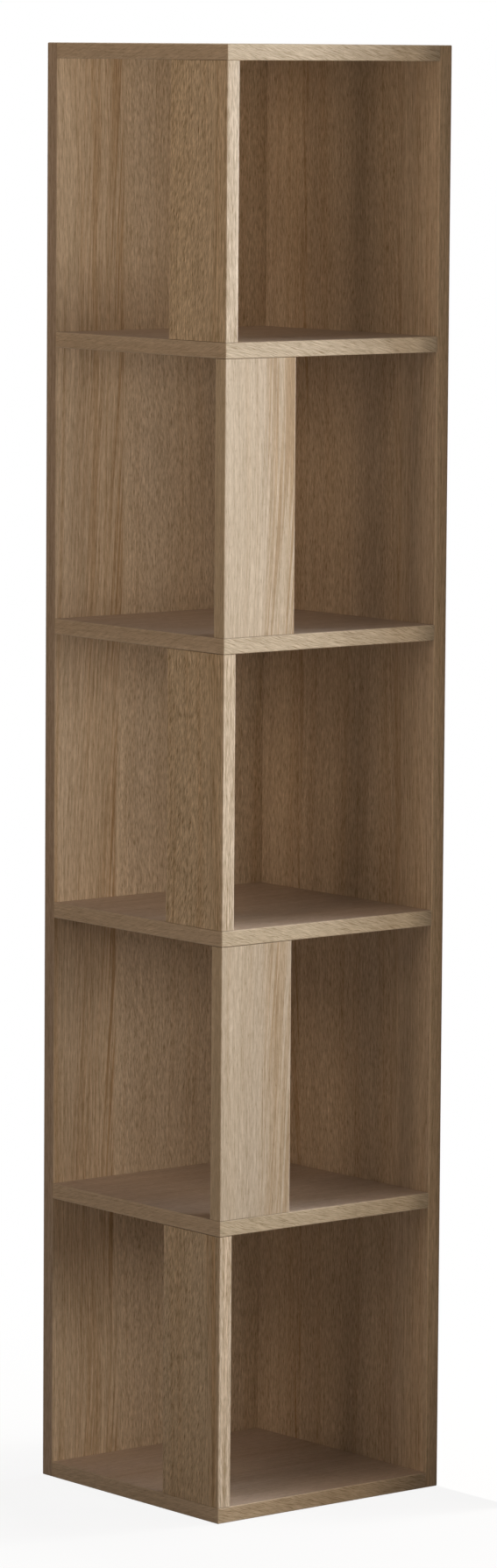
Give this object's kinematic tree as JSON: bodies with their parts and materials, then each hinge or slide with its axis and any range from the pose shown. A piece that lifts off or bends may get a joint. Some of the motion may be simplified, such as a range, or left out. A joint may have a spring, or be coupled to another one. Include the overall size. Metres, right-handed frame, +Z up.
{
  "type": "corner shelf",
  "caption": "Tall corner shelf in oak-look board: square shelves between panels that meet at the back corner, with short uprights changing sides from bay to bay.",
  "frame": {"origin": "on the floor, under the middle of the square plan", "axes": "+Z up; +Y towards the wall behind the back panel; +X towards the wall behind the side panel; the open front corner is at -X -Y"},
  "size_m": [0.328, 0.328, 1.668],
  "materials": {
    "back_panel": "light oak laminate, satin, fine pores along the grain",
    "side_panel": "light oak laminate, satin, fine pores along the grain",
    "shelf_base": "light oak laminate, satin, fine pores along the grain",
    "shelf_1": "light oak laminate, satin, fine pores along the grain",
    "shelf_2": "light oak laminate, satin, fine pores along the grain",
    "shelf_3": "light oak laminate, satin, fine pores along the grain",
    "shelf_4": "light oak laminate, satin, fine pores along the grain",
    "shelf_top": "light oak laminate, satin, fine pores along the grain",
    "upright_1": "light oak laminate, satin, fine pores along the grain",
    "upright_2": "light oak laminate, satin, fine pores along the grain",
    "upright_3": "light oak laminate, satin, fine pores along the grain",
    "upright_4": "light oak laminate, satin, fine pores along the grain",
    "upright_5": "light oak laminate, satin, fine pores along the grain",
    "screw": "zinc-plated steel",
    "dowel": "plain beech"
  },
  "bodies": {
    "root": {"back_panel": "back_panel", "side_panel": "side_panel", "shelf_base": "shelf_base", "shelf_1": "shelf_1", "shelf_2": "shelf_2", "shelf_3": "shelf_3", "shelf_4": "shelf_4", "shelf_top": "shelf_top", "upright_1": "upright_1", "upright_2": "upright_2", "upright_3": "upright_3", "upright_4": "upright_4", "upright_5": "upright_5", "screw_back_0_front": "screw", "screw_back_0_corner": "screw", "screw_back_1_front": "screw", "screw_back_1_corner": "screw", "screw_back_2_front": "screw", "screw_back_2_corner": "screw", "screw_back_3_front": "screw", "screw_back_3_corner": "screw", "screw_back_4_front": "screw", "screw_back_4_corner": "screw", "screw_back_5_front": "screw", "screw_back_5_corner": "screw", "screw_side_0_front": "screw", "screw_side_0_corner": "screw", "screw_side_1_front": "screw", "screw_side_1_corner": "screw", "screw_side_2_front": "screw", "screw_side_2_corner": "screw", "screw_side_3_front": "screw", "screw_side_3_corner": "screw", "screw_side_4_front": "screw", "screw_side_4_corner": "screw", "screw_side_5_front": "screw", "screw_side_5_corner": "screw", "screw_corner_1": "screw", "screw_corner_3": "screw", "screw_corner_5": "screw", "dowel_1_low_outer": "dowel", "dowel_1_low_inner": "dowel", "dowel_1_high_outer": "dowel", "dowel_1_high_inner": "dowel", "dowel_2_low_outer": "dowel", "dowel_2_low_inner": "dowel", "dowel_2_high_outer": "dowel", "dowel_2_high_inner": "dowel", "dowel_3_low_outer": "dowel", "dowel_3_low_inner": "dowel", "dowel_3_high_outer": "dowel", "dowel_3_high_inner": "dowel", "dowel_4_low_outer": "dowel", "dowel_4_low_inner": "dowel", "dowel_4_high_outer": "dowel", "dowel_4_high_inner": "dowel", "dowel_5_low_outer": "dowel", "dowel_5_low_inner": "dowel", "dowel_5_high_outer": "dowel", "dowel_5_high_inner": "dowel"}
  },
  "joints": []
}
